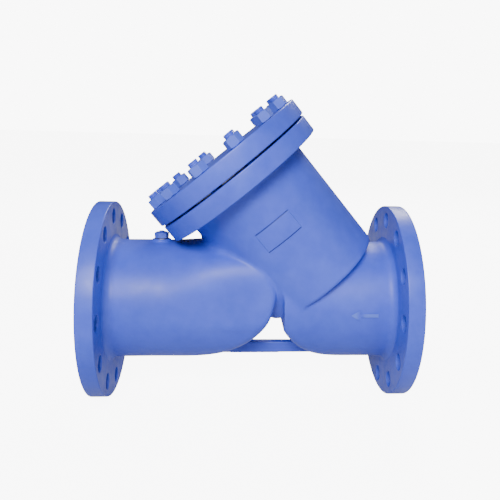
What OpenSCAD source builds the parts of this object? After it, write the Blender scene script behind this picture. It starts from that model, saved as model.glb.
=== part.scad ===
// Flanged cast-steel Y strainer, 200 mm bore: body casting, bolted cover and lift-out basket screen.
// Millimetres. The pipe axis lies on X with the middle of the body at the origin and Z up.
// The inlet is at +X and the outlet at -X. The branch leans up and back over the outlet side.

/* [Pipe line] */
// Distance between the two raised faces
face_to_face = 600; // [540:1:660]
// Bore of the line
bore_d = 200; // [150:1:220]
// Outside diameter of the two necks
neck_d = 228; // [210:1:250]
// Fillet between each neck and its flange
neck_fillet = 12; // [4:1:20]

/* [Line flanges] */
// Outside diameter
flange_d = 375; // [340:1:400]
// Thickness without the raised face
flange_t = 31; // [24:1:40]
// Diameter of the raised face
raised_d = 285; // [260:1:300]
// Height of the raised face
raised_t = 3; // [1:0.5:5]
// Bolt circle
flange_pcd = 320; // [300:1:340]
// Bolt hole diameter
flange_hole_d = 30; // [22:1:33]
// Number of bolt holes
flange_holes = 12; // [8:4:16]

/* [Branch] */
// Where the branch axis crosses the pipe axis
branch_x = 173; // [150:1:190]
// Angle of the branch above the outlet side
branch_angle = 50; // [40:1:60]
// Outside diameter of the barrel
barrel_d = 254; // [240:1:264]
// Height on the branch axis where the barrel starts
barrel_start = 61; // [50:1:80]
// Diameter of the screen chamber
chamber_d = 224; // [210:1:230]

/* [Body lobes] */
// Height of the centre of the rounded front of the outlet lobe
outlet_front_z = 22; // [10:1:40]
// Position of that centre along the pipe
outlet_front_x = -60; // [-80:1:-50]
// Radius of the rounded front
outlet_front_r = 103; // [95:1:110]
// Width of the rounded front
outlet_front_w = 206; // [180:1:216]
// Radius of the corners of the rounded front
outlet_corner_r = 118; // [115:1:130]
// Height of the centre of the round that ends the outlet lobe
outlet_round_z = 41; // [20:1:60]
// Position of that centre along the pipe
outlet_round_x = -106; // [-130:1:-80]
// Radius of the outlet round
outlet_round_r = 154; // [140:1:170]
// Height of the centre of the round that ends the inlet lobe
inlet_round_z = 42; // [20:1:60]
// Position of that centre along the pipe
inlet_round_x = 195; // [170:1:220]
// Radius of the inlet round
inlet_round_r = 157; // [145:1:170]
// Wall between the outlet round and the passage inside it
round_wall = 14; // [10:1:18]
// Width of the web that ties the two lobes
web_w = 18; // [10:1:30]
// Depth of the web
web_depth = 22; // [15:1:30]
// Depth of the underside of the web below the pipe axis
web_bottom = 112; // [105:1:114]

/* [Seat of the screen] */
// Bore through the seat
seat_bore_d = 180; // [170:1:190]
// Height of the ledge the screen stands on
seat_h = 80; // [74:1:88]
// Height of the floor of the chamber
chamber_floor_h = 95; // [90:1:105]
// Recess that centres the foot of the screen
seat_recess_d = 201; // [195:0.5:204]

/* [Cover joint] */
// Height of the underside of the body's cover flange
cover_flange_h = 296; // [285:1:305]
// Thickness of the body's cover flange
cover_flange_t = 34; // [28:1:40]
// Diameter of the body's cover flange
cover_flange_d = 340; // [330:1:350]
// Fillet between barrel and cover flange
cover_fillet = 9; // [3:1:15]
// Open gap between the two flanges
joint_gap = 4; // [3:0.5:6]
// Diameter of the cover
cover_d = 345; // [335:1:355]
// Thickness of the cover
cover_t = 33; // [28:1:40]
// Bolt circle of the cover
cover_pcd = 295; // [285:1:305]
// Number of cover studs
studs = 12; // [8:4:16]
// Clearance hole for a stud
stud_hole_d = 22; // [21:0.5:28]
// Edge chamfer on cover and flanges
edge_chamfer = 2; // [0.5:0.5:4]

/* [Fasteners] */
// Stud diameter
stud_d = 20; // [16:1:27]
// Width of a nut across its flats
nut_af = 30; // [24:1:41]
// Height of a nut
nut_h = 18; // [16:0.5:24]
// Stud end that stands above its nut
stud_tip = 8; // [1:0.5:10]
// Depth of a tapped hole
tap_depth = 30; // [24:1:32]
// Turn between one nut and the next
nut_turn = 37; // [0:1:60]

/* [Gasket] */
// Inside radius of the inner ring
gasket_r = 113.5; // [112:0.5:116]
// Radial width of the inner ring
gasket_inner_w = 4.5; // [3:0.5:6]
// Radial width of the winding
gasket_winding_w = 11; // [8:1:14]
// Radial width of the centring ring
gasket_outer_w = 6; // [4:0.5:7]
// Thickness of the winding when clamped
gasket_t = 3.7; // [3:0.1:4.5]

/* [Basket screen] */
// Outside diameter of the perforated sleeve
screen_d = 188; // [180:1:192]
// Thickness of the perforated sleeve
screen_t = 2; // [1:0.5:3]
// Diameter of a perforation
hole_d = 14; // [6:1:18]
// Perforations drawn in one row
row_holes = 20; // [16:2:32]
// Rows of perforations
hole_rows = 6; // [4:1:9]
// Height of the lowest row
hole_first_h = 110; // [104:1:120]
// Distance between rows
hole_pitch = 33; // [20:1:40]
// Thickness of the fine lining
lining_t = 0.7; // [0.5:0.1:1.5]
// Width of the seam strip
seam_w = 14; // [10:1:24]
// Thickness of seam strip and band
strip_t = 1.2; // [1:0.1:2]
// Height of the middle band
band_w = 9; // [6:1:16]
// Diameter of the grip bar
grip_d = 10; // [8:1:12]

/* [Tapping plug] */
// Position of the tapping along the outlet neck
tap_x = -175.5; // [-200:0.5:-160]
// Diameter of the boss
boss_d = 34; // [30:1:40]
// Height of the boss face above the pipe axis
boss_top = 118; // [116:0.5:122]
// Diameter of the plug shank
plug_d = 20; // [16:1:24]
// Width of the plug head across its flats
plug_af = 24; // [20:1:27]
// Height of the plug head
plug_head_h = 11; // [8:0.5:14]

/* [Raised marks] */
// Length of the blank pad across the barrel
pad_l = 73; // [60:1:90]
// Width of the blank pad along the barrel
pad_w = 39; // [30:1:50]
// Height of the middle of the pad on the branch axis
pad_h = 204.5; // [190:0.5:220]
// How far pad and arrow stand up
mark_t = 2; // [1:0.1:3]
// Length of the flow arrow
arrow_l = 48; // [30:1:60]
// Position of the arrow's middle along the pipe
arrow_x = 206; // [180:1:230]

/* [Hidden] */
$fn = 96;
half = face_to_face / 2;
rim = half - raised_t;
neck_r = neck_d / 2;
bore_r = bore_d / 2;
lean = branch_angle - 90;
barrel_r = barrel_d / 2;
chamber_r = chamber_d / 2;
body_joint_h = cover_flange_h + cover_flange_t;
cover_h = body_joint_h + joint_gap;
cover_top_h = cover_h + cover_t;
rest_gap = 0.3;
nut_base_h = cover_top_h + rest_gap;
stud_end_h = nut_base_h + nut_h + stud_tip;
stud_base_h = body_joint_h - tap_depth + 1;
thread_gap = 0.05;
stud_step = 360 / studs;
screen_r = screen_d / 2;
screen_base_h = seat_h + rest_gap;
screen_ring_top_h = cover_h - 0.4;
foot_top_h = chamber_floor_h;
foot_r = seat_recess_d / 2 - 0.5;
collar_r = chamber_r - 0.5;
collar_h = 8;
sleeve_w = 3;
sleeve_base_h = 302;
screen_top_h = 322;
lining_r = screen_r - screen_t;
band_h = hole_first_h + 4 * hole_pitch - hole_pitch / 2 - band_w / 2;
grip_h = 327.5;
ring_fit = 0.02;
neck_split = 250;
branch_split = 266;
deep = 400;
paint = [0.16, 0.28, 0.65];
steel = [0.62, 0.64, 0.66];
graphite = [0.16, 0.16, 0.17];

// Places its children on the branch axis, which becomes Z.
module on_branch() {
  translate([branch_x, 0, 0])
    rotate([0, lean, 0])
      children();
}

// Turns Z onto the pipe axis, pointing at +X.
module on_pipe() {
  rotate([0, 90, 0])
    children();
}

// A disc on Z with a chamfer on both rims.
module chamfered_disc(r, h, c) {
  rotate_extrude()
    polygon([[0, 0], [r - c, 0], [r, c], [r, h - c], [r - c, h], [0, h]]);
}

// A plain ring on Z.
module ring(r_in, r_out, h) {
  difference() {
    cylinder(h = h, r = r_out);
    translate([0, 0, -1])
      cylinder(h = h + 2, r = r_in);
  }
}

// A concave fillet around a shaft of radius r, standing on the plane z = 0.
module root_fillet(r, f) {
  rotate_extrude()
    difference() {
      translate([r - 3, -3])
        square([f + 3, f + 3]);
      translate([r + f, f])
        circle(r = f);
    }
}

// One line flange with its raised face and the end of its neck. The raised face looks along +Z.
module line_flange(neck_start) {
  difference() {
    union() {
      translate([0, 0, rim - flange_t])
        chamfered_disc(flange_d / 2, flange_t, edge_chamfer);
      translate([0, 0, rim - 1])
        cylinder(h = raised_t + 1, r = raised_d / 2);
      translate([0, 0, neck_start])
        cylinder(h = rim - neck_start - 1, r = neck_r);
      translate([0, 0, rim - flange_t])
        mirror([0, 0, 1])
          root_fillet(neck_r, neck_fillet);
    }
    translate([0, 0, neck_start - 1])
      cylinder(h = half - neck_start + 2, r = bore_r);
    line_holes();
  }
}

// The bolt holes of one line flange.
module line_holes() {
  for (i = [0:flange_holes - 1])
    rotate([0, 0, i * 360 / flange_holes])
      translate([flange_pcd / 2, 0, rim - flange_t - 1])
        cylinder(h = flange_t + 2, d = flange_hole_d);
}

// A solid that ends in a round across the pipe, grown inwards by wall.
module outlet_lobe(r, wall) {
  intersection() {
    translate([-neck_split, 0, 0])
      on_pipe()
        cylinder(h = neck_split + 100, r = r);
    union() {
      translate([-half - 1, -deep / 2, -deep / 2])
        cube([half + 1 + outlet_round_x, deep, deep]);
      translate([outlet_round_x, deep / 2, outlet_round_z])
        rotate([90, 0, 0])
          cylinder(h = deep, r = outlet_round_r - wall);
    }
  }
}

// The rounded front of the outlet lobe, which stands proud of the barrel.
module outlet_front() {
  intersection() {
    translate([outlet_front_x, outlet_front_w / 2, outlet_front_z])
      rotate([90, 0, 0])
        cylinder(h = outlet_front_w, r = outlet_front_r);
    translate([outlet_front_x - 90, 0, 0])
      on_pipe()
        cylinder(h = 240, r = outlet_corner_r);
  }
}

// The inlet side of the body.
module inlet_lobe() {
  intersection() {
    translate([20, 0, 0])
      on_pipe()
        cylinder(h = neck_split - 20, r = neck_r);
    union() {
      translate([inlet_round_x, -deep / 2, -deep / 2])
        cube([half + 1 - inlet_round_x, deep, deep]);
      translate([inlet_round_x, deep / 2, inlet_round_z])
        rotate([90, 0, 0])
          cylinder(h = deep, r = inlet_round_r);
    }
  }
}

// The blank rectangular pad cast on the near side of the barrel.
module name_pad() {
  on_branch()
    intersection() {
      translate([0, 0, pad_h - pad_w])
        cylinder(h = 2 * pad_w, r = barrel_r + mark_t);
      translate([-pad_l / 2, -deep / 2, pad_h - pad_w / 2])
        cube([pad_l, deep / 2, pad_w]);
    }
}

// The flow arrow cast on the near side of the inlet neck. It points at the outlet.
module flow_arrow() {
  intersection() {
    translate([arrow_x - arrow_l, 0, 0])
      on_pipe()
        cylinder(h = 2 * arrow_l, r = neck_r + mark_t);
    translate([arrow_x, 0, 0])
      rotate([90, 0, 0])
        linear_extrude(height = deep / 2)
          polygon([
            [-arrow_l / 2, 0], [-arrow_l / 2 + 15, 8.5], [-arrow_l / 2 + 15, 2.2],
            [arrow_l / 2, 2.2], [arrow_l / 2, -2.2], [-arrow_l / 2 + 15, -2.2],
            [-arrow_l / 2 + 15, -8.5]
          ]);
  }
}

// Everything the casting is made of before it is hollowed.
module body_outside() {
  outlet_lobe(neck_r, 0);
  outlet_front();
  inlet_lobe();
  on_branch()
    translate([0, 0, barrel_start])
      cylinder(h = branch_split - barrel_start, r = barrel_r);
  name_pad();
  flow_arrow();
  translate([-60, -web_w / 2, -web_bottom])
    cube([190, web_w, web_depth]);
  translate([tap_x, 0, neck_r - 8])
    cylinder(h = boss_top - neck_r + 8, d = boss_d);
}

// The passages, the screen chamber and every hole.
module body_inside() {
  outlet_lobe(bore_r, round_wall);
  translate([-half - 1, 0, 0])
    on_pipe()
      cylinder(h = half - 150, r = bore_r);
  translate([branch_x, 0, 0])
    on_pipe()
      cylinder(h = half - branch_x + 1, r = bore_r);
  translate([branch_x, 0, 0])
    sphere(r = bore_r);
  on_branch() {
    cylinder(h = chamber_floor_h + 1, d = seat_bore_d);
    translate([0, 0, seat_h])
      cylinder(h = chamber_floor_h - seat_h + 1, d = seat_recess_d);
    translate([0, 0, chamber_floor_h])
      cylinder(h = branch_split - chamber_floor_h + 1, r = chamber_r);
  }
  translate([tap_x, 0, 80])
    cylinder(h = 60, r = plug_d / 2 + thread_gap);
}

module body_casting() {
  color(paint)
    difference() {
      body_outside();
      body_inside();
    }
}

module inlet_flange() {
  color(paint)
    on_pipe()
      line_flange(neck_split);
}

module outlet_flange() {
  color(paint)
    rotate([0, 0, 180])
      on_pipe()
        line_flange(neck_split);
}

// The top of the barrel and the flange that carries the cover.
module cover_flange() {
  color(paint)
    on_branch()
      difference() {
        union() {
          translate([0, 0, branch_split])
            cylinder(h = cover_flange_h - branch_split + 1, r = barrel_r);
          translate([0, 0, cover_flange_h])
            chamfered_disc(cover_flange_d / 2, cover_flange_t, edge_chamfer);
          translate([0, 0, cover_flange_h])
            mirror([0, 0, 1])
              root_fillet(barrel_r, cover_fillet);
        }
        translate([0, 0, branch_split - 1])
          cylinder(h = body_joint_h - branch_split + 2, r = chamber_r);
        for (i = [0:studs - 1])
          rotate([0, 0, (i + 0.5) * stud_step])
            translate([cover_pcd / 2, 0, body_joint_h - tap_depth])
              cylinder(h = tap_depth + 1, r = stud_d / 2 + thread_gap);
      }
}

module tapping_seal() {
  color(steel)
    translate([tap_x, 0, boss_top])
      ring(plug_d / 2 + 0.4, plug_d / 2 + 3.5, 1.5);
}

module tapping_plug() {
  color(paint)
    translate([tap_x, 0, 0]) {
      translate([0, 0, bore_r + 2])
        cylinder(h = boss_top + 2 - bore_r, d = plug_d);
      translate([0, 0, boss_top + 1.8])
        intersection() {
          cylinder(h = plug_head_h, r = plug_af / 2 / cos(30), $fn = 6);
          chamfered_disc(plug_af / 2 / cos(30), plug_head_h, 1.4);
        }
      translate([0, 0, boss_top + plug_head_h])
        cylinder(h = 4.5, r = 5);
    }
}

module gasket_inner_ring() {
  color(steel)
    on_branch()
      translate([0, 0, body_joint_h])
        ring(gasket_r, gasket_r + gasket_inner_w, gasket_t - 0.5);
}

module gasket_winding() {
  color(graphite)
    on_branch()
      translate([0, 0, body_joint_h])
        ring(gasket_r + gasket_inner_w, gasket_r + gasket_inner_w + gasket_winding_w, gasket_t);
}

module gasket_outer_ring() {
  color(steel)
    on_branch()
      translate([0, 0, body_joint_h])
        ring(gasket_r + gasket_inner_w + gasket_winding_w,
             gasket_r + gasket_inner_w + gasket_winding_w + gasket_outer_w, gasket_t - 0.5);
}

module cover() {
  color(paint)
    on_branch()
      difference() {
        translate([0, 0, cover_h])
          chamfered_disc(cover_d / 2, cover_t, edge_chamfer);
        for (i = [0:studs - 1])
          rotate([0, 0, (i + 0.5) * stud_step])
            translate([cover_pcd / 2, 0, cover_h - 1])
              cylinder(h = cover_t + 2, d = stud_hole_d);
      }
}

// Rows of holes around the sleeve, each row turned by half a pitch. None falls under the seam.
module screen_sleeve() {
  color(steel)
    on_branch()
      difference() {
        translate([0, 0, screen_base_h])
          ring(screen_r - screen_t, screen_r, screen_top_h - screen_base_h);
        for (row = [0:hole_rows - 1])
          for (i = [1 - row % 2:row_holes - 1])
            rotate([0, 0, (i + (row % 2) / 2) * 360 / row_holes])
              translate([screen_r - screen_t - 3, 0, hole_first_h + row * hole_pitch])
                rotate([0, 90, 0])
                  cylinder(h = screen_t + 6, d = hole_d);
      }
}

module screen_lining() {
  color(steel)
    on_branch()
      translate([0, 0, screen_base_h + 4])
        ring(lining_r - lining_t, lining_r - ring_fit, screen_top_h - screen_base_h - 14);
}

module screen_foot_ring() {
  color(steel)
    on_branch()
      translate([0, 0, screen_base_h])
        ring(screen_r + ring_fit, foot_r, foot_top_h - screen_base_h);
}

module screen_top_ring() {
  color(steel)
    on_branch()
      difference() {
        union() {
          translate([0, 0, sleeve_base_h])
            cylinder(h = screen_ring_top_h - sleeve_base_h, r = screen_r + sleeve_w);
          translate([0, 0, screen_ring_top_h - collar_h])
            cylinder(h = collar_h, r = collar_r);
        }
        translate([0, 0, sleeve_base_h - 1])
          cylinder(h = 60, r = screen_r + ring_fit);
      }
}

module screen_band() {
  color(steel)
    on_branch()
      difference() {
        translate([0, 0, band_h])
          ring(screen_r + ring_fit, screen_r + strip_t, band_w);
        translate([0, -seam_w / 2 - 0.1, band_h - 1])
          cube([screen_d, seam_w + 0.2, band_w + 2]);
      }
}

module screen_seam() {
  color(steel)
    on_branch()
      intersection() {
        translate([0, 0, foot_top_h + 0.5])
          ring(screen_r + ring_fit, screen_r + strip_t, sleeve_base_h - foot_top_h - 1);
        translate([0, -seam_w / 2, 0])
          cube([screen_d, seam_w, cover_h]);
      }
}

module screen_grip() {
  color(steel)
    on_branch()
      translate([0, 0, grip_h])
        rotate([90, 0, 0])
          cylinder(h = 2 * screen_r, d = grip_d, center = true);
}

module stud_at(k) {
  color(paint)
    on_branch()
      rotate([0, 0, (k - 0.5) * stud_step])
        translate([cover_pcd / 2, 0, stud_base_h])
          chamfered_disc(stud_d / 2, stud_end_h - stud_base_h, 1.5);
}

module nut_at(k) {
  color(paint)
    on_branch()
      rotate([0, 0, (k - 0.5) * stud_step])
        translate([cover_pcd / 2, 0, nut_base_h])
          rotate([0, 0, k * nut_turn])
            difference() {
              intersection() {
                cylinder(h = nut_h, r = nut_af / 2 / cos(30), $fn = 6);
                chamfered_disc(nut_af / 2 / cos(30) + 0.4, nut_h, 2.4);
              }
              translate([0, 0, -1])
                cylinder(h = nut_h + 2, r = stud_d / 2 + thread_gap);
            }
}

module stud_01() {
  stud_at(1);
}

module stud_02() {
  stud_at(2);
}

module stud_03() {
  stud_at(3);
}

module stud_04() {
  stud_at(4);
}

module stud_05() {
  stud_at(5);
}

module stud_06() {
  stud_at(6);
}

module stud_07() {
  stud_at(7);
}

module stud_08() {
  stud_at(8);
}

module stud_09() {
  stud_at(9);
}

module stud_10() {
  stud_at(10);
}

module stud_11() {
  stud_at(11);
}

module stud_12() {
  stud_at(12);
}

module nut_01() {
  nut_at(1);
}

module nut_02() {
  nut_at(2);
}

module nut_03() {
  nut_at(3);
}

module nut_04() {
  nut_at(4);
}

module nut_05() {
  nut_at(5);
}

module nut_06() {
  nut_at(6);
}

module nut_07() {
  nut_at(7);
}

module nut_08() {
  nut_at(8);
}

module nut_09() {
  nut_at(9);
}

module nut_10() {
  nut_at(10);
}

module nut_11() {
  nut_at(11);
}

module nut_12() {
  nut_at(12);
}

body_casting();
inlet_flange();
outlet_flange();
cover_flange();
tapping_seal();
tapping_plug();
gasket_inner_ring();
gasket_winding();
gasket_outer_ring();
cover();
screen_sleeve();
screen_lining();
screen_foot_ring();
screen_top_ring();
screen_band();
screen_seam();
screen_grip();
stud_01();
stud_02();
stud_03();
stud_04();
stud_05();
stud_06();
stud_07();
stud_08();
stud_09();
stud_10();
stud_11();
stud_12();
nut_01();
nut_02();
nut_03();
nut_04();
nut_05();
nut_06();
nut_07();
nut_08();
nut_09();
nut_10();
nut_11();
nut_12();
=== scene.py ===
"""Looks of a flanged cast Y strainer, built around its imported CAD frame."""

import math

import bmesh
import bpy
import numpy as np
from mathutils import Matrix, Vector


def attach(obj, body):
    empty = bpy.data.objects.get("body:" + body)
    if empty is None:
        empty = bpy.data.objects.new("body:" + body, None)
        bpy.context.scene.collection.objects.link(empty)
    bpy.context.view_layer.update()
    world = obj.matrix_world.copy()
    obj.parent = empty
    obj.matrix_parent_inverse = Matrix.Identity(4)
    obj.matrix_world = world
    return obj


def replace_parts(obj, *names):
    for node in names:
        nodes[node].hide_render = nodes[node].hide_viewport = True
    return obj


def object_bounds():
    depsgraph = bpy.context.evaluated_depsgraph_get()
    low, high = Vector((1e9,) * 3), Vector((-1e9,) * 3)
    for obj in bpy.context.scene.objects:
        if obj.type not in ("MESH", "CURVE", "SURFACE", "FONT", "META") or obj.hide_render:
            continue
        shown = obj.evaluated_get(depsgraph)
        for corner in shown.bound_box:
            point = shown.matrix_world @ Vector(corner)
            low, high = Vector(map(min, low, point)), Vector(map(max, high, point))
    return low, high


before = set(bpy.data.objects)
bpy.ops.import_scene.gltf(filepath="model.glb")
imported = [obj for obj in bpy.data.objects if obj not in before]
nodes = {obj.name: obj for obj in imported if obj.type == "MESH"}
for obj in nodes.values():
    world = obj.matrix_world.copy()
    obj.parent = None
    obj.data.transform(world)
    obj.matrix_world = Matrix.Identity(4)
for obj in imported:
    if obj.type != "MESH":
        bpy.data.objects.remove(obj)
cad_low, cad_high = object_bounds()

# ---------------------------------------------------------------- sizes, in millimetres
MM = 0.001
HALF = 300.0            # middle of the body to a raised face
RIM = 297.0             # middle of the body to a flange rim's outer face
FLANGE_BACK = 266.0     # middle of the body to the back of a line flange
FLANGE_R = 187.5
RAISED_R = 142.5
BORE_R = 100.0
NECK_R = 114.0
LINE_PCD = 320.0
LINE_HOLE_R = 15.0
BOLTS = 12

BRANCH_X = 173.0
BRANCH_ANGLE = math.radians(50.0)
BARREL_R = 127.0
BARREL_START = 61.0
CHAMBER_R = 112.0
CHAMBER_FLOOR = 95.0
COVER_FLANGE_H = 296.0
COVER_FLANGE_R = 170.0
BODY_JOINT_H = 330.0
COVER_H = 334.0
COVER_T = 33.0
COVER_R = 172.5
COVER_PCD = 295.0
STUD_R = 10.0
STUD_HOLE_R = 11.0
NUT_BASE_H = COVER_H + COVER_T + 0.3
NUT_H = 18.0
NUT_AF = 30.0
NUT_TURN = 37.0
STUD_TOP_H = NUT_BASE_H + NUT_H + 8.0
STUD_BASE_H = 301.0

OUTLET_FRONT = (-60.0, 22.0, 103.0)     # x, z and radius of the rounds that shape the lobes
OUTLET_SWEEP = (-139.0, 85.0, 199.0)
OUTLET_ROUND = (-106.0, 41.0, 140.0)
INLET_ROUND = (195.0, 42.0, 157.0)
CAST_NECK_END = 284.0   # the cast skin stops here, inside the machined flanges
CAST_BARREL_END = 316.0
CAST_SINK = 0.8         # how far the cast root of a flange lies under the machined flange
INLET_START = 58.0
COVER_ROOT_R = 134.4
SKIN = 0.4              # how much larger the radius of a cast passage is than its nominal size
WEB_HALF_W = 9.0
WEB_HALF_D = 11.0
WEB_Z = -101.0
WEB_START, WEB_END = -80.0, 170.0
TAP_X = -175.5
BOSS_R = 17.0
BOSS_BASE, BOSS_TOP = 95.0, 118.0
PLUG_AF = 24.0
PLUG_HEAD_H = 11.0
PLUG_GAP = 1.8          # from the boss to the plug's head. The seal lies in it.
MARK_RISE = 1.9         # how far the pad and the arrow stand up
SEAT_R = 90.0
SEAT_RECESS_R = 100.5
SEAT_LEDGE = 80.0
SCREEN_R = 94.0
SCREEN_BASE_H = 80.3
SCREEN_TOP_H = 322.0
SCREEN_FIT = 0.02       # radial gap between the sleeve and its rings
FOOT_RING_R = 100.0
TOP_RING_BASE = 302.0
TOP_RING_R = 97.0
COLLAR_R = 111.5
COLLAR_H = 8.0
GRIP_H = 327.5
GRIP_R = 4.7
KNURL_END = 36.0        # the grip is knurled this far either side of its middle
KNURL_PITCH = 3.0

BRANCH_N = np.array([-math.cos(BRANCH_ANGLE), 0.0, math.sin(BRANCH_ANGLE)])
BRANCH_M = np.array([math.sin(BRANCH_ANGLE), 0.0, math.cos(BRANCH_ANGLE)])
BRANCH_A = np.array([BRANCH_X, 0.0, 0.0])


# ---------------------------------------------------------------- placing
def on_branch(points):
    """Branch coordinates (across, sideways, along) to the shared frame, in millimetres."""
    p = np.asarray(points, float)
    return BRANCH_A + p[:, :1] * BRANCH_M + p[:, 1:2] * np.array([0.0, 1.0, 0.0]) + p[:, 2:3] * BRANCH_N


def on_pipe(points, side):
    """A shape turned on Z, laid on the pipe axis so that its Z points at side * X."""
    p = np.asarray(points, float)
    return np.stack([side * p[:, 2], side * p[:, 1], p[:, 0]], axis=1)


def turned(points, degrees):
    """Points turned about Z."""
    a = math.radians(degrees)
    p = np.asarray(points, float)
    x = p[:, 0] * math.cos(a) - p[:, 1] * math.sin(a)
    y = p[:, 0] * math.sin(a) + p[:, 1] * math.cos(a)
    return np.stack([x, y, p[:, 2]], axis=1)


def bolt_angle(k):
    """Angle of stud k, counted from 1. The studs straddle the branch's plane."""
    return (k - 0.5) * 360.0 / BOLTS


# ---------------------------------------------------------------- meshes
def new_object(name, verts, faces, materials, body, sharp=35.0, slot=None):
    """A smooth-shaded mesh object from points in millimetres. It rides on a CAD body, if one is given."""
    mesh = bpy.data.meshes.new(name)
    mesh.from_pydata([tuple(v) for v in np.asarray(verts, float) * MM], [], [tuple(f) for f in faces])
    for m in materials:
        mesh.materials.append(m)
    return finish_object(name, mesh, body, sharp)


def finish_object(name, mesh, body, sharp):
    """Cleans a mesh, sets its shading and puts it on its body."""
    bm = bmesh.new()
    bm.from_mesh(mesh)
    bmesh.ops.remove_doubles(bm, verts=bm.verts, dist=1e-6)
    bmesh.ops.recalc_face_normals(bm, faces=bm.faces)
    bm.to_mesh(mesh)
    bm.free()
    mesh.shade_smooth()
    if sharp:
        mesh.set_sharp_from_angle(angle=math.radians(sharp))
    mesh.update()
    obj = bpy.data.objects.new(name, mesh)
    bpy.context.scene.collection.objects.link(obj)
    if body:
        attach(obj, body)
    return obj


def lathe(profile, segments, closed=True):
    """Turns a list of (radius, height) about Z. An open profile has its ends capped."""
    prof = np.asarray(profile, float)
    n = len(prof)
    ang = np.linspace(0, 2 * math.pi, segments, endpoint=False)
    verts = np.stack([
        np.outer(np.cos(ang), prof[:, 0]).ravel(),
        np.outer(np.sin(ang), prof[:, 0]).ravel(),
        np.tile(prof[:, 1], segments),
    ], axis=1)
    faces = []
    for i in range(segments):
        j = (i + 1) % segments
        for k in range(n if closed else n - 1):
            m = (k + 1) % n
            faces.append((i * n + k, j * n + k, j * n + m, i * n + m))
    if not closed:
        faces.append(tuple(i * n for i in range(segments))[::-1])
        faces.append(tuple(i * n + n - 1 for i in range(segments)))
    return verts, faces


def rounded(profile, radius, steps=4, closed=True):
    """A profile with its corners rounded. radius is one number, or one for each corner."""
    pts = [np.array(p, float) for p in profile]
    n = len(pts)
    radii = radius if hasattr(radius, "__len__") else [radius] * n
    out = []
    for i, p in enumerate(pts):
        if radii[i] <= 0 or (not closed and i in (0, n - 1)):
            out.append(p)
            continue
        a, b = pts[i - 1] - p, pts[(i + 1) % n] - p
        la, lb = np.linalg.norm(a), np.linalg.norm(b)
        a, b = a / la, b / lb
        half = math.acos(max(-1.0, min(1.0, float(a @ b)))) / 2
        reach = min(radii[i] / math.tan(half), 0.48 * la, 0.48 * lb)
        start, end = p + a * reach, p + b * reach
        for t in np.linspace(0, 1, steps + 1):
            out.append((1 - t) ** 2 * start + 2 * t * (1 - t) * p + t ** 2 * end)
    return out


def joined(parts):
    """One list of points and faces from several."""
    verts, faces, base = [], [], 0
    for v, f in parts:
        verts.append(np.asarray(v, float))
        faces += [tuple(i + base for i in q) for q in f]
        base += len(v)
    return np.concatenate(verts), faces


def cut_holes(name, solid, cutters, materials, body, sharp=30.0):
    """A solid with holes cut through it by a boolean."""
    base = new_object(name + "_raw", *solid, materials, None)
    tool = new_object(name + "_tool", *cutters, materials[:1], None)
    mod = base.modifiers.new("holes", "BOOLEAN")
    mod.operation = "DIFFERENCE"
    mod.solver = "EXACT"
    mod.object = tool
    bpy.context.view_layer.update()
    mesh = bpy.data.meshes.new_from_object(base.evaluated_get(bpy.context.evaluated_depsgraph_get()))
    for o in (base, tool):
        old = o.data
        bpy.data.objects.remove(o)
        bpy.data.meshes.remove(old)
    return finish_object(name, mesh, body, sharp)


def hole_cutter(radius, low, high, chamfer=1.0, segments=40):
    """A cutter for one drilled hole, wider at both faces so that the hole's edges are broken."""
    return lathe([
        (radius + chamfer + 2, low - 2), (radius + chamfer, low), (radius, low + chamfer),
        (radius, high - chamfer), (radius + chamfer, high), (radius + chamfer + 2, high + 2),
    ], segments, closed=False)


# ---------------------------------------------------------------- materials
def node_material(name):
    """An empty node material with a Principled shader."""
    mat = bpy.data.materials.new(name)
    mat.use_nodes = True
    tree = mat.node_tree
    tree.nodes.clear()
    out = tree.nodes.new("ShaderNodeOutputMaterial")
    bsdf = tree.nodes.new("ShaderNodeBsdfPrincipled")
    tree.links.new(bsdf.outputs["BSDF"], out.inputs["Surface"])
    return mat, tree, bsdf


def noise(tree, coords, scale, detail=3.0, rough=0.55):
    """Noise from 0 to 1."""
    n = tree.nodes.new("ShaderNodeTexNoise")
    n.inputs["Scale"].default_value = scale
    n.inputs["Detail"].default_value = detail
    n.inputs["Roughness"].default_value = rough
    tree.links.new(coords, n.inputs["Vector"])
    return n.outputs["Fac"]


def ramp(tree, fac, stops):
    """A colour ramp. stops holds (position, colour)."""
    r = tree.nodes.new("ShaderNodeValToRGB")
    r.color_ramp.elements[0].position, r.color_ramp.elements[0].color = stops[0][0], (*stops[0][1], 1)
    r.color_ramp.elements[1].position, r.color_ramp.elements[1].color = stops[-1][0], (*stops[-1][1], 1)
    for pos, col in stops[1:-1]:
        e = r.color_ramp.elements.new(pos)
        e.color = (*col, 1)
    tree.links.new(fac, r.inputs["Fac"])
    return r.outputs["Color"]


def spread(tree, fac, low, high):
    """Maps the middle of a noise onto a range of values."""
    m = tree.nodes.new("ShaderNodeMapRange")
    m.inputs["From Min"].default_value = 0.3
    m.inputs["From Max"].default_value = 0.7
    m.inputs["To Min"].default_value = low
    m.inputs["To Max"].default_value = high
    tree.links.new(fac, m.inputs["Value"])
    return m.outputs["Result"]


def mix(tree, fac, a, b):
    """A mix of two colours, each a socket or plain values."""
    m = tree.nodes.new("ShaderNodeMix")
    m.data_type = "RGBA"
    if hasattr(fac, "links"):
        tree.links.new(fac, m.inputs["Factor"])
    else:
        m.inputs["Factor"].default_value = fac
    for socket, value in ((m.inputs["A"], a), (m.inputs["B"], b)):
        if hasattr(value, "links"):
            tree.links.new(value, socket)
        else:
            socket.default_value = (*value, 1)
    return m.outputs["Result"]


def bump(tree, height, strength, distance, normal=None):
    """A bumped normal, on top of another one if given."""
    b = tree.nodes.new("ShaderNodeBump")
    b.inputs["Strength"].default_value = strength
    b.inputs["Distance"].default_value = distance
    tree.links.new(height, b.inputs["Height"])
    if normal is not None:
        tree.links.new(normal, b.inputs["Normal"])
    return b.outputs["Normal"]


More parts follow.
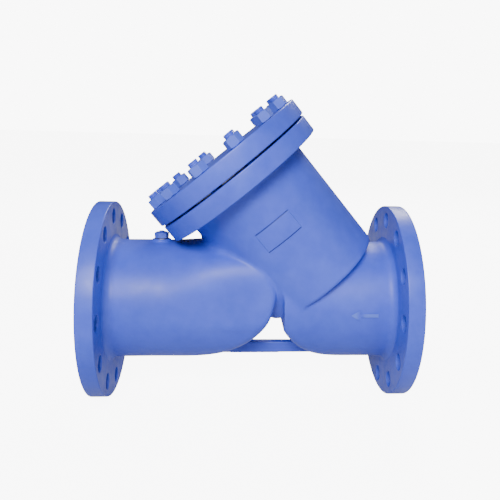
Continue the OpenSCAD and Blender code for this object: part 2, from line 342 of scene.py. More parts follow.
def object_coords(tree):
    """Coordinates that stay with the object."""
    return tree.nodes.new("ShaderNodeTexCoord").outputs["Object"]


BLUE = (0.055, 0.092, 0.62)
BLUE_DEEP = (0.042, 0.074, 0.54)
BLUE_PALE = (0.085, 0.130, 0.70)


def blue_paint(name, grit, grit_scale, roughness=0.46, coat=0.08, shade=1.0, edge_wear_and_highlight=0.35):
    """Sprayed blue enamel.

    grit is how far the metal's own surface shows through it, edge_wear_and_highlight how pale
    its edges are, as edge wear and a painted highlight together, and a shade under 1 darkens it
    with painted shade.
    """
    mat, tree, bsdf = node_material(name)
    at = object_coords(tree)
    patches = noise(tree, at, 7.0, 2.0)
    mottle = noise(tree, at, 46.0, 4.0)
    base = ramp(tree, patches, [(0.3, BLUE_DEEP), (0.55, BLUE), (0.78, BLUE_PALE)])
    speck = ramp(tree, mottle, [(0.35, BLUE_DEEP), (0.7, BLUE_PALE)])
    colour = mix(tree, 0.22, base, speck)
    # Convex edges are paled: partly edge wear, partly a painted highlight.
    edge = tree.nodes.new("ShaderNodeNewGeometry").outputs["Pointiness"]
    worn_and_highlit = tree.nodes.new("ShaderNodeMapRange")
    worn_and_highlit.inputs["From Min"].default_value = 0.53
    worn_and_highlit.inputs["From Max"].default_value = 0.62
    worn_and_highlit.inputs["To Max"].default_value = edge_wear_and_highlight
    tree.links.new(edge, worn_and_highlit.inputs["Value"])
    colour = mix(tree, worn_and_highlit.outputs["Result"], colour, (0.16, 0.26, 0.70))
    # A shade under 1 is painted shade: the paint is darkened towards near black.
    if shade < 1.0:
        colour = mix(tree, 1.0 - shade, colour, tuple(0.15 * c for c in BLUE_DEEP))
    tree.links.new(colour, bsdf.inputs["Base Color"])
    tree.links.new(spread(tree, mottle, roughness - 0.05, roughness + 0.09), bsdf.inputs["Roughness"])
    cast = bump(tree, noise(tree, at, grit_scale, 5.0, 0.6), grit, 0.0012)
    peel = bump(tree, noise(tree, at, 900.0, 2.0), 0.10, 0.0002, cast)
    tree.links.new(peel, bsdf.inputs["Normal"])
    bsdf.inputs["Coat Weight"].default_value = coat
    bsdf.inputs["Coat Roughness"].default_value = 0.34
    bsdf.inputs["Specular IOR Level"].default_value = 0.32
    return mat


def steel(name, colour, roughness, scratch_scale, axis=2):
    """Bare steel with brushed lines across one axis."""
    mat, tree, bsdf = node_material(name)
    at = object_coords(tree)
    squash = tree.nodes.new("ShaderNodeMapping")
    scale = [8.0, 8.0, 8.0]
    scale[axis] = scratch_scale
    squash.inputs["Scale"].default_value = scale
    tree.links.new(at, squash.inputs["Vector"])
    lines = noise(tree, squash.outputs["Vector"], 6.0, 4.0)
    dull = noise(tree, at, 30.0, 3.0)
    shade = ramp(tree, lines, [(0.25, tuple(c * 0.72 for c in colour)), (0.75, colour)])
    tree.links.new(mix(tree, 0.3, shade, tuple(c * 0.85 for c in colour)), bsdf.inputs["Base Color"])
    tree.links.new(spread(tree, dull, roughness - 0.06, roughness + 0.1), bsdf.inputs["Roughness"])
    tree.links.new(bump(tree, lines, 0.12, 0.0004), bsdf.inputs["Normal"])
    bsdf.inputs["Metallic"].default_value = 1.0
    return mat


def woven(name):
    """Fine stainless mesh: two crossing sets of wires on the branch axis."""
    mat, tree, bsdf = node_material(name)
    at = object_coords(tree)
    heights = []
    for direction in ("X", "Z"):
        w = tree.nodes.new("ShaderNodeTexWave")
        w.wave_type = "BANDS"
        w.bands_direction = direction
        w.inputs["Scale"].default_value = 220.0
        turn = tree.nodes.new("ShaderNodeMapping")
        turn.inputs["Rotation"].default_value = (0.0, math.pi / 2 - BRANCH_ANGLE, 0.0)
        tree.links.new(at, turn.inputs["Vector"])
        tree.links.new(turn.outputs["Vector"], w.inputs["Vector"])
        heights.append(w.outputs["Fac"])
    top = tree.nodes.new("ShaderNodeMath")
    top.operation = "MAXIMUM"
    tree.links.new(heights[0], top.inputs[0])
    tree.links.new(heights[1], top.inputs[1])
    # The low parts between the wires are painted near black as shade; only the wire tops carry the steel's
    # pale colour.
    colour = ramp(tree, top.outputs["Value"], [(0.35, (0.05, 0.05, 0.05)), (0.8, (0.52, 0.52, 0.5))])
    tree.links.new(colour, bsdf.inputs["Base Color"])
    tree.links.new(bump(tree, top.outputs["Value"], 0.6, 0.0005), bsdf.inputs["Normal"])
    tree.links.new(spread(tree, noise(tree, at, 60.0), 0.3, 0.5), bsdf.inputs["Roughness"])
    bsdf.inputs["Metallic"].default_value = 1.0
    return mat


def graphite(name):
    """The wound filler of a gasket: dark, with small grey flakes."""
    mat, tree, bsdf = node_material(name)
    at = object_coords(tree)
    flakes = noise(tree, at, 400.0, 4.0)
    tree.links.new(ramp(tree, flakes, [(0.4, (0.018, 0.018, 0.02)), (0.75, (0.09, 0.09, 0.095))]),
                   bsdf.inputs["Base Color"])
    tree.links.new(spread(tree, flakes, 0.45, 0.7), bsdf.inputs["Roughness"])
    tree.links.new(bump(tree, flakes, 0.3, 0.0003), bsdf.inputs["Normal"])
    bsdf.inputs["Metallic"].default_value = 0.3
    return mat


CAST = blue_paint("cast_blue", 0.10, 130.0)
TURNED = blue_paint("turned_blue", 0.05, 260.0, roughness=0.38, edge_wear_and_highlight=0.0)
BOLTING = blue_paint("bolting_blue", 0.06, 300.0, roughness=0.34, coat=0.3)
MACHINED = steel("machined_face", (0.50, 0.51, 0.53), 0.34, 60.0)
STAINLESS = steel("stainless", (0.62, 0.62, 0.60), 0.30, 90.0)
RING_STEEL = steel("ring_steel", (0.55, 0.56, 0.57), 0.36, 40.0)
WOVEN = woven("woven_mesh")
GRAPHITE = graphite("graphite")
# Painted shade: a near-black blue for the rim strips round the pad and the arrow, a painted shadow line.
RIM_SHADE_PAINT = blue_paint("rim_painted_shade", 0.10, 420.0, shade=0.22)


# ---------------------------------------------------------------- the cast body, as a blended solid
def smooth_min(a, b, k):
    """The union of two solids, with a fillet about k wide."""
    h = np.clip(0.5 + 0.5 * (b - a) / k, 0.0, 1.0)
    return b * (1 - h) + a * h - k * h * (1 - h)


def smooth_max(a, b, k):
    """The overlap of two solids, with its edges rounded over about k."""
    return -smooth_min(-a, -b, k)


def past(x, z, round_, way=1.0):
    """Distance past a round across the pipe that only ends a lobe on one side of its centre."""
    return np.hypot(np.maximum(way * (x - round_[0]), 0.0), z - round_[1]) - round_[2]


def slab(across, radius, along, low, high):
    """A disc or short cylinder."""
    return np.maximum(across - radius, np.maximum(low - along, along - high))


def outlet_lobe(x, y, z):
    """The outlet side: a neck that turns boxy and ends in a rounded front, swept up underneath."""
    swell = np.clip((x + 170.0) / 160.0, 0.0, 1.0)
    power = 2.0 + 2.2 * swell * swell * (3.0 - 2.0 * swell) * np.clip((z + 35.0) / 75.0, 0.0, 1.0)
    boxy = (np.abs(y / NECK_R) ** power + np.abs(z / NECK_R) ** power + 1e-9) ** (1.0 / power)
    front_x, front_z, front_r = OUTLET_FRONT
    front = np.hypot(np.maximum(x - front_x, 0.0), np.maximum(z - front_z, 0.0)) - front_r
    outlet = smooth_max((boxy - 1.0) * NECK_R, front, 14.0)
    outlet = smooth_max(outlet, past(x, z, OUTLET_SWEEP), 18.0)
    outlet = np.maximum(outlet, -CAST_NECK_END - x)
    root = slab(np.hypot(y, z), NECK_R + 20, -x, FLANGE_BACK + CAST_SINK, CAST_NECK_END)
    return smooth_min(outlet, root, 17.0)


def inlet_lobe(x, across, z):
    """The inlet side: a neck that ends in a round under the barrel."""
    inlet = smooth_max(across - NECK_R, past(x, z, INLET_ROUND, -1.0), 14.0)
    inlet = np.maximum(inlet, INLET_START - x)
    inlet = np.maximum(inlet, x - CAST_NECK_END)
    root = slab(across, NECK_R + 20, x, FLANGE_BACK + CAST_SINK, CAST_NECK_END)
    return smooth_min(inlet, root, 17.0)


def barrel_solid(round_branch, h):
    """The barrel, with the root of the cover flange."""
    barrel = smooth_max(round_branch - BARREL_R, BARREL_START - h, 5.0)
    barrel = np.maximum(barrel, h - CAST_BARREL_END)
    root = slab(round_branch, COVER_ROOT_R, h, COVER_FLANGE_H + CAST_SINK, CAST_BARREL_END)
    return smooth_min(barrel, root, 11.0)


def cast_hollow(x, across, z, round_branch, h, from_branch):
    """The two passages, the seat of the screen and its chamber."""
    passage = smooth_max(across - BORE_R - SKIN, past(x, z, OUTLET_ROUND), 18.0)
    entry = np.maximum(across - BORE_R - SKIN, BRANCH_X - x)
    entry = np.minimum(entry, from_branch - BORE_R - SKIN)
    seat = slab(round_branch, SEAT_R, h, 0.0, CHAMBER_FLOOR + 2.0)
    recess = slab(round_branch, SEAT_RECESS_R, h, SEAT_LEDGE, CHAMBER_FLOOR + 2.0)
    chamber = slab(round_branch, CHAMBER_R + SKIN, h, CHAMBER_FLOOR, 400.0)
    hollow = smooth_min(smooth_min(passage, chamber, 6.0), entry, 0.5)
    return np.minimum(np.minimum(hollow, seat), recess)


def cast_distance(p):
    """Signed distance, in millimetres, to the skin of the casting without its machined flanges."""
    x, y, z = p[:, 0], p[:, 1], p[:, 2]
    across = np.hypot(y, z)
    q = p - BRANCH_A
    s, h = q @ BRANCH_M, q @ BRANCH_N
    round_branch = np.hypot(s, y)
    web = np.maximum(np.abs(y) - WEB_HALF_W, np.abs(z - WEB_Z) - WEB_HALF_D)
    web = smooth_max(web, np.maximum(WEB_START - x, x - WEB_END), 2.0)
    boss = np.maximum(np.hypot(x - TAP_X, y) - BOSS_R, np.maximum(BOSS_BASE - z, z - BOSS_TOP))
    high_on_outlet_side = np.clip(-s / 110.0, 0.0, 1.0) * np.clip((h - 190.0) / 60.0, 0.0, 1.0)
    solid = smooth_min(outlet_lobe(x, y, z), inlet_lobe(x, across, z), 24.0)
    solid = smooth_min(solid, barrel_solid(round_branch, h), 5.0 + 16.0 * high_on_outlet_side)
    solid = smooth_min(solid, web, 13.0)
    solid = smooth_min(solid, boss, 6.0)
    uneven = np.sin(x / 31.0 + 1.3) * np.sin(y / 27.0 + 0.4) * np.sin(z / 35.0 + 2.1)
    hollow = cast_hollow(x, across, z, round_branch, h, np.linalg.norm(q, axis=1))
    return smooth_max(solid + 0.35 * uneven, -hollow, 2.5)


def surface_net(distance, low, high, step, refine=3):
    """A quad mesh on the zero level of a distance function, with its points moved onto that level."""
    axes = [np.arange(low[i], high[i] + step, step) for i in range(3)]
    nx, ny, nz = (len(a) for a in axes)
    values = np.empty((nx, ny, nz), np.float32)
    yy, zz = np.meshgrid(axes[1], axes[2], indexing="ij")
    for i, xv in enumerate(axes[0]):
        values[i] = distance(np.stack([np.full(yy.size, xv), yy.ravel(), zz.ravel()], 1)).reshape(ny, nz)
    inside = values < 0
    corners = [(a, b, c) for a in (0, 1) for b in (0, 1) for c in (0, 1)]
    shape = (nx - 1, ny - 1, nz - 1)
    count = np.zeros(shape, np.int8)
    for a, b, c in corners:
        count += inside[a:a + shape[0], b:b + shape[1], c:c + shape[2]]
    cells = np.argwhere((count > 0) & (count < 8))
    index = np.full(shape, -1, np.int64)
    index[tuple(cells.T)] = np.arange(len(cells))
    total, hits = np.zeros((len(cells), 3)), np.zeros(len(cells))
    for a in corners:
        for axis in range(3):
            if a[axis]:
                continue
            b = list(a)
            b[axis] = 1
            va = values[tuple((cells + a).T)]
            vb = values[tuple((cells + b).T)]
            cross = (va < 0) != (vb < 0)
            t = np.where(cross, va / np.where(cross, va - vb, 1.0), 0.0)
            point = np.array(a, float) + t[:, None] * (np.array(b) - np.array(a))
            total += np.where(cross[:, None], point, 0.0)
            hits += cross
    verts = np.array(low) + (cells + total / hits[:, None]) * step
    faces = []
    for axis in range(3):
        u, v = (axis + 1) % 3, (axis + 2) % 3
        lo = [slice(1, n - 1) for n in (nx, ny, nz)]
        lo[axis] = slice(0, (nx, ny, nz)[axis] - 1)
        hi = list(lo)
        hi[axis] = slice(1, (nx, ny, nz)[axis])
        first, second = inside[tuple(lo)], inside[tuple(hi)]
        for flip, mask in ((False, first & ~second), (True, ~first & second)):
            base = np.argwhere(mask) + [0 if i == axis else 1 for i in range(3)]
            quad = []
            for du, dv in ((-1, -1), (0, -1), (0, 0), (-1, 0)):
                c = base.copy()
                c[:, u] += du
                c[:, v] += dv
                quad.append(index[tuple(c.T)])
            quad = np.stack(quad[::-1] if flip else quad, 1)
            faces.append(quad)
    faces = np.concatenate(faces)
    for _ in range(refine):
        d = distance(verts)
        grad = np.stack([(distance(verts + e) - distance(verts - e)) for e in np.eye(3) * 0.2], 1) / 0.4
        size = np.maximum((grad ** 2).sum(1), 0.25)
        verts = verts - np.clip(d / size, -step, step)[:, None] * grad
    return verts, faces


CAST_STEP = 3.0
CAST_LOW, CAST_HIGH = (-290.0, -140.0, -124.0), (290.0, 140.0, 345.0)
cast_verts, cast_faces = surface_net(cast_distance, CAST_LOW, CAST_HIGH, CAST_STEP)
casting = new_object("casting_shell", cast_verts, cast_faces.tolist(), [CAST], "body", sharp=None,
                     slot="casting_paint")
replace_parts(casting, "body_casting", "inlet_flange", "outlet_flange", "cover_flange")


# ---------------------------------------------------------------- machined flanges
def line_flange(name, side):
    """A line flange with a raised face and twelve drilled holes."""
    profile = rounded([
        (BORE_R, FLANGE_BACK + 4), (BORE_R, HALF), (RAISED_R, HALF), (RAISED_R, RIM),
        (FLANGE_R, RIM), (FLANGE_R, FLANGE_BACK), (BORE_R + 6, FLANGE_BACK),
    ], [0, 1.0, 0.8, 1.5, 2.0, 2.0, 0])
    solid = lathe(profile, 192)
    cutters = joined([
        (turned(v + [LINE_PCD / 2, 0, 0], i * 360.0 / BOLTS), f)
        for i in range(BOLTS)
        for v, f in [hole_cutter(LINE_HOLE_R, FLANGE_BACK, RIM)]
    ])
    solid = (on_pipe(solid[0], side), solid[1])
    cutters = (on_pipe(cutters[0], side), cutters[1])
    obj = cut_holes(name, solid, cutters, [TURNED, MACHINED], "body")
    for poly in obj.data.polygons:
        c = poly.center
        if abs(c.x) > (HALF - 0.6) * MM and math.hypot(c.y, c.z) < (RAISED_R - 1.0) * MM:
            poly.material_index = 1
    return obj


line_flange("flange_inlet", 1)
line_flange("flange_outlet", -1)


def stud_hole_cutters(radius, low, high):
    """Cutters for the twelve stud holes."""
    return joined([
        (turned(v + [COVER_PCD / 2, 0, 0], bolt_angle(k)), f)
        for k in range(1, BOLTS + 1)
        for v, f in [hole_cutter(radius, low, high, 0.8)]
    ])


def cover_flange():
    """The flange on the barrel that the cover is bolted to."""
    profile = rounded([
        (CHAMBER_R, COVER_FLANGE_H + 6), (CHAMBER_R, BODY_JOINT_H), (COVER_FLANGE_R, BODY_JOINT_H),
        (COVER_FLANGE_R, COVER_FLANGE_H), (CHAMBER_R + 7, COVER_FLANGE_H),
    ], [0, 1.0, 2.0, 2.4, 0])
    v, f = lathe(profile, 192)
    cv, cf = stud_hole_cutters(STUD_R + 0.3, COVER_FLANGE_H + 3, BODY_JOINT_H)
    return cut_holes("flange_cover", (on_branch(v), f), (on_branch(cv), cf), [TURNED], "body")


cover_flange()


def cover_disc():
    """The blank cover with its twelve clearance holes."""
    top = COVER_H + COVER_T
    profile = rounded([
        (0.4, COVER_H), (COVER_R, COVER_H), (COVER_R, top), (0.4, top),
    ], [0, 2.2, 2.6, 0], closed=False)
    v, f = lathe(profile, 192, closed=False)
    cv, cf = stud_hole_cutters(STUD_HOLE_R, COVER_H, top)
    obj = cut_holes("cover_disc", (on_branch(v), f), (on_branch(cv), cf), [TURNED], "cover")
    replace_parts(obj, "cover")
    return obj


cover_disc()


# ---------------------------------------------------------------- pad and arrow
# A face under all three of these sizes, in square metres and metres, is a strip of a mark's rim. These
# strips get a dark painted shade.
STRIP_AREA = 12e-6
STRIP_LONG = 5e-3
STRIP_SHORT = 1.4e-3


def plate_on_cylinder(name, outline, radius, rise, place, sharp=40.0):
    """A thin raised plate on the near side of a cylinder about Z. outline is (across, along)."""
    pts = np.array(outline, float)
    n = len(pts)
    # How far each ring of points lies inside the outline, and how far above the cylinder.
    steps = ((-1.3, -1.0), (-0.9, 0.5), (0.0, rise - 0.4), (0.35, rise - 0.1), (1.1, rise))
    rings = []
    for shrink, lift in steps:
        edge = []
        for i in range(n):
            a, p, b = pts[i - 1], pts[i], pts[(i + 1) % n]
            t1, t2 = (p - a) / np.linalg.norm(p - a), (b - p) / np.linalg.norm(b - p)
            inward = np.array([-(t1 + t2)[1], (t1 + t2)[0]])
            inward /= np.linalg.norm(inward)
            cos_half = max(0.35, float(inward @ np.array([-t1[1], t1[0]])))
            edge.append(p + inward * shrink / cos_half)
        rings.append((np.array(edge), lift))
    verts, faces = [], []
    for edge, lift in rings:
        for u, w in edge:
            r = radius + lift
            a = u / radius
            verts.append((r * math.sin(a), -r * math.cos(a), w))
    for k in range(len(rings) - 1):
        for i in range(n):
            j = (i + 1) % n
            faces.append((k * n + i, k * n + j, (k + 1) * n + j, (k + 1) * n + i))
    top = (len(rings) - 1) * n
    faces += fill_outline(top, n)
    obj = new_object(name, place(np.array(verts)), faces, [CAST, RIM_SHADE_PAINT], "body", sharp=sharp,
                     slot="casting_paint")
    # The rim strips get the painted shade paint, a painted shadow line round the mark.
    for face in obj.data.polygons:
        sides = edge_lengths(obj.data, face)
        if face.area < STRIP_AREA and max(sides) < STRIP_LONG and min(sides) < STRIP_SHORT:
            face.material_index = 1
    return obj


def edge_lengths(mesh, face):
    """Lengths of a face's edges, in metres."""
    at = [mesh.vertices[i].co for i in face.vertices]
    return [(a - b).length for a, b in zip(at, at[1:] + at[:1])]


def fill_outline(start, n):
    """Strips across an outline that runs out along one side and back along the other."""
    faces = []
    for i in range(n // 2 - 1):
        faces.append((start + i, start + i + 1, start + n - 2 - i, start + n - 1 - i))
    return faces


PAD_L, PAD_W, PAD_H = 73.0, 39.0, 204.5
pad_side = np.linspace(-PAD_L / 2, PAD_L / 2, 25)
pad_outline = [(u, PAD_H - PAD_W / 2) for u in pad_side] + [(u, PAD_H + PAD_W / 2) for u in pad_side[::-1]]
plate_on_cylinder("blank_pad", pad_outline, BARREL_R, MARK_RISE, on_branch)

ARROW_X = 206.0


def arrow_place(points):
    """From a cylinder about Z to the inlet neck, with its Z along X."""
    p = np.asarray(points, float)
    return np.stack([p[:, 2] + ARROW_X, p[:, 1], -p[:, 0]], axis=1)


head, tail, wing, stem = -24.0, 24.0, 8.5, 2.2
stations = [(head, 0.25), (head + 4, 2.4), (head + 8, 4.7), (head + 12, 6.9), (head + 15, wing),
            (head + 15.1, stem), (head + 24, stem), (head + 36, stem), (tail, stem)]
arrow_outline = [(w, u) for u, w in stations] + [(-w, u) for u, w in stations[::-1]]
plate_on_cylinder("flow_arrow", arrow_outline[::-1], NECK_R, MARK_RISE, arrow_place)


# ---------------------------------------------------------------- studs and nuts
def hex_nut(af, height, bore, segments=96, top_land=0.94):
    """A hexagon nut about Z from height 0, chamfered at both ends, with a countersunk bore."""
    ang = np.linspace(0, 2 * math.pi, segments, endpoint=False)
    flat = af / 2
    edge = flat / np.cos((ang % (math.pi / 3)) - math.pi / 6)
    land = flat * top_land
    fall = (edge - land) * math.tan(math.radians(30))
    rings = [
        (np.full(segments, bore), np.full(segments, 1.2)),
        (np.full(segments, bore + 1.2), np.zeros(segments)),
        (np.full(segments, land), np.zeros(segments)),
        (edge, fall * 0.8),
        (edge, height - fall),
        (np.full(segments, land), np.full(segments, height)),
        (np.full(segments, bore + 1.4), np.full(segments, height)),
        (np.full(segments, bore), np.full(segments, height - 1.4)),
    ]
    verts = np.concatenate([np.stack([r * np.cos(ang), r * np.sin(ang), z], 1) for r, z in rings])
    faces = []
    for k in range(len(rings)):
        m = (k + 1) % len(rings)
        for i in range(segments):
            j = (i + 1) % segments
            faces.append((k * segments + i, k * segments + j, m * segments + j, m * segments + i))
    return verts, faces


def threaded_bar(radius, low, high, pitch=3.0, depth=1.2, segments=28):
    """A bar about Z with a real helical thread between low and high, and a chamfered tip."""
    steps = int((high - low) / pitch * segments)
    t = np.arange(steps + 1)
    ang = 2 * math.pi * t / segments
    z0 = low + pitch * t / segments
    rows = []
    for dz, r in ((0.0, radius - depth), (0.42, radius), (0.58, radius)):
        z = z0 + dz * pitch
        fade = np.clip((high - 0.3 - z) / 1.6, 0.0, 1.0)
        rr = r - (1 - fade) * (r - (radius - depth - 0.2))
        rows.append(np.stack([rr * np.cos(ang), rr * np.sin(ang), np.minimum(z, high)], 1))
    verts = np.concatenate(rows)
    n = steps + 1
    faces = []
    for i in range(steps):
        for a, b in ((0, 1), (1, 2)):
            faces.append((a * n + i, a * n + i + 1, b * n + i + 1, b * n + i))
        k = i + segments
        if k + 1 <= steps:
            faces.append((2 * n + i, 2 * n + i + 1, k + 1, k))
    core_r = radius - depth - 0.15
    core, core_faces = lathe([(core_r, low), (core_r, high)], segments, closed=False)
    return joined([(verts, faces), (core, core_faces)])


nut_verts, nut_faces = hex_nut(NUT_AF, NUT_H, STUD_R - 0.9)
bar_verts, bar_faces = threaded_bar(STUD_R - 0.05, STUD_BASE_H, STUD_TOP_H)
for k in range(1, BOLTS + 1):
    spot = np.array([COVER_PCD / 2, 0.0, 0.0])
    v = turned(nut_verts, k * NUT_TURN) + spot + [0, 0, NUT_BASE_H]
    label = f"{k:02d}"
    nut = new_object("hex_nut_" + label, on_branch(turned(v, bolt_angle(k))), nut_faces, [BOLTING],
                     "nut_" + label, sharp=28.0, slot="fastener_paint")
    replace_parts(nut, "nut_" + label)
    v = turned(turned(bar_verts, 50.0 * k) + spot, bolt_angle(k))
    stud = new_object("threaded_stud_" + label, on_branch(v), bar_faces, [BOLTING], "body", sharp=50.0,
                      slot="fastener_paint")
    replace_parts(stud, "stud_" + label)


# ---------------------------------------------------------------- tapping plug
def tapping():
    """The small hexagon plug on the outlet neck."""
    hv, hf = hex_nut(PLUG_AF, PLUG_HEAD_H, 0.5, top_land=0.92)
    tip = lathe(rounded([(0.3, 4.0), (5.0, 4.0), (5.0, 7.0), (0.3, 7.0)], [0, 0, 1.0, 0], closed=False), 32,
                closed=False)
    shank = lathe([(9.6, -14.0), (9.6, 1.0)], 40, closed=False)
    place = np.array([TAP_X, 0.0, BOSS_TOP + PLUG_GAP])
    v, f = joined([
        (turned(hv, 12.0) + place, hf),
        (tip[0] + place + [0, 0, PLUG_HEAD_H - 7.0 + 2.6], tip[1]),
        (shank[0] + place, shank[1]),
    ])
    obj = new_object("hex_plug", v, f, [BOLTING], "tapping_plug", sharp=30.0, slot="fastener_paint")
    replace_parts(obj, "tapping_plug")


tapping()


# ---------------------------------------------------------------- basket screen
def perforated_sleeve():
    """A rolled sheet, plain at both ends. Its staggered round holes are drawn with eight sides."""
    around, rows, hole = 60, 22, 3.1
    r = SCREEN_R - 1.0
    low, high = 98.0, 300.0
    du, dv = 2 * math.pi / around, (high - low) / rows
    verts, faces = [], []
    for j in range(rows):
        shift = 0.5 * (j % 2)
        for i in range(around):
            base = len(verts)
            u0, v0 = (i + shift) * du, low + j * dv
            for a, b in ((0, 0), (0.5, 0), (1, 0), (1, 0.5), (1, 1), (0.5, 1), (0, 1), (0, 0.5)):
                verts.append((u0 + a * du, v0 + b * dv))
            for t in range(8):
                a = math.radians(225 + 45 * t)
                verts.append((u0 + du / 2 + hole / r * math.cos(a), v0 + dv / 2 + hole * math.sin(a)))
            for t in range(8):
                s = (t + 1) % 8
                faces.append((base + t, base + s, base + 8 + s, base + 8 + t))
    for z0, z1 in ((SCREEN_BASE_H, low), (high, SCREEN_TOP_H)):
        for i in range(2 * around):
            base = len(verts)
            for a, z in ((i, z0), (i + 1, z0), (i + 1, z1), (i, z1)):
                verts.append((a * du / 2, z))
            faces.append((base, base + 1, base + 2, base + 3))
    flat = np.array(verts)
    v = np.stack([r * np.cos(flat[:, 0]), r * np.sin(flat[:, 0]), flat[:, 1]], 1)
    obj = new_object("perforated_sleeve", on_branch(v), faces, [STAINLESS], None, sharp=40.0)
    mod = obj.modifiers.new("thickness", "SOLIDIFY")
    mod.thickness = 2.0 * MM
    mod.offset = 0.0
    bpy.context.view_layer.update()
    mesh = bpy.data.meshes.new_from_object(obj.evaluated_get(bpy.context.evaluated_depsgraph_get()))
    old = obj.data
    bpy.data.objects.remove(obj)
    bpy.data.meshes.remove(old)
    obj = finish_object("perforated_sleeve", mesh, "screen", 40.0)
    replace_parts(obj, "screen_sleeve")


perforated_sleeve()


def screen_rings():
    """The turned foot ring and top ring, and the grip bar."""
    base, floor = SCREEN_BASE_H, CHAMBER_FLOOR
    inside = SCREEN_R + SCREEN_FIT
    v, f = lathe(rounded([(inside, base), (FOOT_RING_R, base), (FOOT_RING_R, floor), (inside, floor)],
                         [0, 1.2, 1.2, 0.4]), 128)
    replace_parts(new_object("foot_ring", on_branch(v), f, [STAINLESS], "screen", slot="screen_steel"),
                "screen_foot_ring")
    low, high = TOP_RING_BASE, COVER_H - 0.4
    v, f = lathe(rounded([
        (inside, low), (TOP_RING_R, low), (TOP_RING_R, high - COLLAR_H), (COLLAR_R, high - COLLAR_H),
        (COLLAR_R, high), (inside, high),
    ], [0, 0.8, 1.5, 1.0, 1.2, 1.0]), 128)
    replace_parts(new_object("top_ring", on_branch(v), f, [STAINLESS], "screen", slot="screen_steel"),
                "screen_top_ring")
    knurl = []
    for i in range(25):
        z = -KNURL_END + KNURL_PITCH * i
        knurl += [(GRIP_R - 0.15, z - 0.9), (GRIP_R + 0.28, z), (GRIP_R - 0.15, z + 0.9)]
    plain = KNURL_END + 2.0
    profile = [(GRIP_R, -SCREEN_R), (GRIP_R, -plain)] + knurl + [(GRIP_R, plain), (GRIP_R, SCREEN_R)]
    v, f = lathe(profile, 40, closed=False)
    v = np.stack([v[:, 0], v[:, 2], v[:, 1] + GRIP_H], axis=1)
    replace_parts(new_object("grip_bar", on_branch(v), f, [STAINLESS], "screen", slot="screen_steel"),
                "screen_grip")


screen_rings()


# ---------------------------------------------------------------- CAD nodes that stay
def dress(node, material):
    """Gives a CAD node its material."""
    mesh = nodes[node].data
    mesh.materials.clear()
    mesh.materials.append(material)


dress("screen_lining", WOVEN)
dress("screen_band", STAINLESS)
dress("screen_seam", STAINLESS)
dress("gasket_inner_ring", RING_STEEL)
dress("gasket_outer_ring", RING_STEEL)
dress("gasket_winding", GRAPHITE)
dress("tapping_seal", RING_STEEL)


# ---------------------------------------------------------------- floor, light and camera
AMBIENT = 0.11       # how much the white surround lights the object
BACKDROP = 9.0       # how bright the surround looks
FLOOR_GLOW = 8.0     # keeps the floor as pale as the surround


def seen_or_felt(tree, felt, seen, target):
    """A strength that is one value to the eye and another to the light that bounces."""
    rays = tree.nodes.new("ShaderNodeLightPath")
    pick = tree.nodes.new("ShaderNodeMapRange")
    pick.inputs["To Min"].default_value = felt
    pick.inputs["To Max"].default_value = seen
    tree.links.new(rays.outputs["Is Camera Ray"], pick.inputs["Value"])
    tree.links.new(pick.outputs["Result"], target)


def studio():
    """A plain pale floor and a white surround."""
    floor_z = cad_low[2]
    mat, tree, bsdf = node_material("studio_floor")
    at = object_coords(tree)
    tree.links.new(ramp(tree, noise(tree, at, 1.5), [(0.3, (0.60, 0.60, 0.60)), (0.7, (0.63, 0.63, 0.63))]),
                   bsdf.inputs["Base Color"])
    bsdf.inputs["Roughness"].default_value = 0.9
    bsdf.inputs["Specular IOR Level"].default_value = 0.1
    bsdf.inputs["Emission Color"].default_value = (1.0, 1.0, 1.0, 1.0)
    seen_or_felt(tree, 0.0, FLOOR_GLOW, bsdf.inputs["Emission Strength"])
    size = 30.0
    mesh = bpy.data.meshes.new("studio_floor")
    mesh.from_pydata([(-size, -size, floor_z), (size, -size, floor_z), (size, size, floor_z),
                      (-size, size, floor_z)], [], [(0, 1, 2, 3)])
    mesh.materials.append(mat)
    floor = bpy.data.objects.new("studio_floor", mesh)
    bpy.context.scene.collection.objects.link(floor)
    world = bpy.data.worlds.new("studio")
    world.use_nodes = True
    back = world.node_tree.nodes["Background"]
    back.inputs["Color"].default_value = (1.0, 1.0, 1.0, 1.0)
    seen_or_felt(world.node_tree, AMBIENT, BACKDROP, back.inputs["Strength"])
    bpy.context.scene.world = world


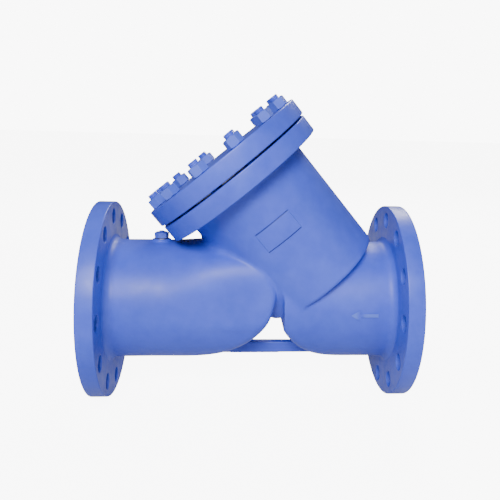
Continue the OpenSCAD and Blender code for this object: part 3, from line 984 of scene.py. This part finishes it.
def softbox(name, place, aim, width, height, power):
    """A large rectangular lamp at a place in metres, aimed at a point."""
    data = bpy.data.lights.new(name, "AREA")
    data.shape = "RECTANGLE"
    data.size, data.size_y = width, height
    data.energy = power
    lamp = bpy.data.objects.new(name, data)
    z = np.array(place, float) - np.array(aim, float)
    z /= np.linalg.norm(z)
    x = np.cross([0.0, 0.0, 1.0], z)
    x /= np.linalg.norm(x)
    y = np.cross(z, x)
    m = np.eye(4)
    m[:3, 0], m[:3, 1], m[:3, 2], m[:3, 3] = x, y, z, place
    lamp.matrix_world = Matrix(m.tolist())
    bpy.context.scene.collection.objects.link(lamp)


def camera():
    """A camera at the viewing angle of the photograph."""
    place = (-0.0376, -1.142, 0.338)
    yaw, pitch, roll = 0.088, -0.153, 0.029
    picture = 500.0                     # width and height of the picture, in pixels
    focal = 590.0                       # in the same pixels
    centre_x, centre_y = 284.9, 218.2
    f = np.array([math.sin(yaw) * math.cos(pitch), math.cos(yaw) * math.cos(pitch), math.sin(pitch)])
    r = np.array([math.cos(yaw), -math.sin(yaw), 0.0])
    u = np.cross(r, f)
    right = math.cos(roll) * r + math.sin(roll) * u
    up = -math.sin(roll) * r + math.cos(roll) * u
    data = bpy.data.cameras.new("photo_view")
    data.sensor_width = 36.0
    data.lens = focal * data.sensor_width / picture
    data.shift_x = (picture / 2 - centre_x) / picture
    data.shift_y = (centre_y - picture / 2) / picture
    data.clip_start = 0.01
    cam = bpy.data.objects.new("photo_view", data)
    m = np.eye(4)
    m[:3, 0], m[:3, 1], m[:3, 2], m[:3, 3] = right, up, -f, place
    cam.matrix_world = Matrix(m.tolist())
    bpy.context.scene.collection.objects.link(cam)
    bpy.context.scene.camera = cam


studio()
softbox("key", (-0.45, -2.9, 1.9), (0.0, 0.0, 0.05), 1.5, 1.3, 190.0)
softbox("left", (-2.6, -0.9, 0.9), (0.0, 0.0, 0.0), 1.2, 1.6, 6.0)
softbox("right", (2.6, -1.8, 1.2), (0.0, 0.0, 0.0), 1.2, 1.6, 12.0)
softbox("back", (0.9, 2.7, 2.5), (0.0, 0.0, 0.05), 1.5, 1.5, 110.0)
camera()
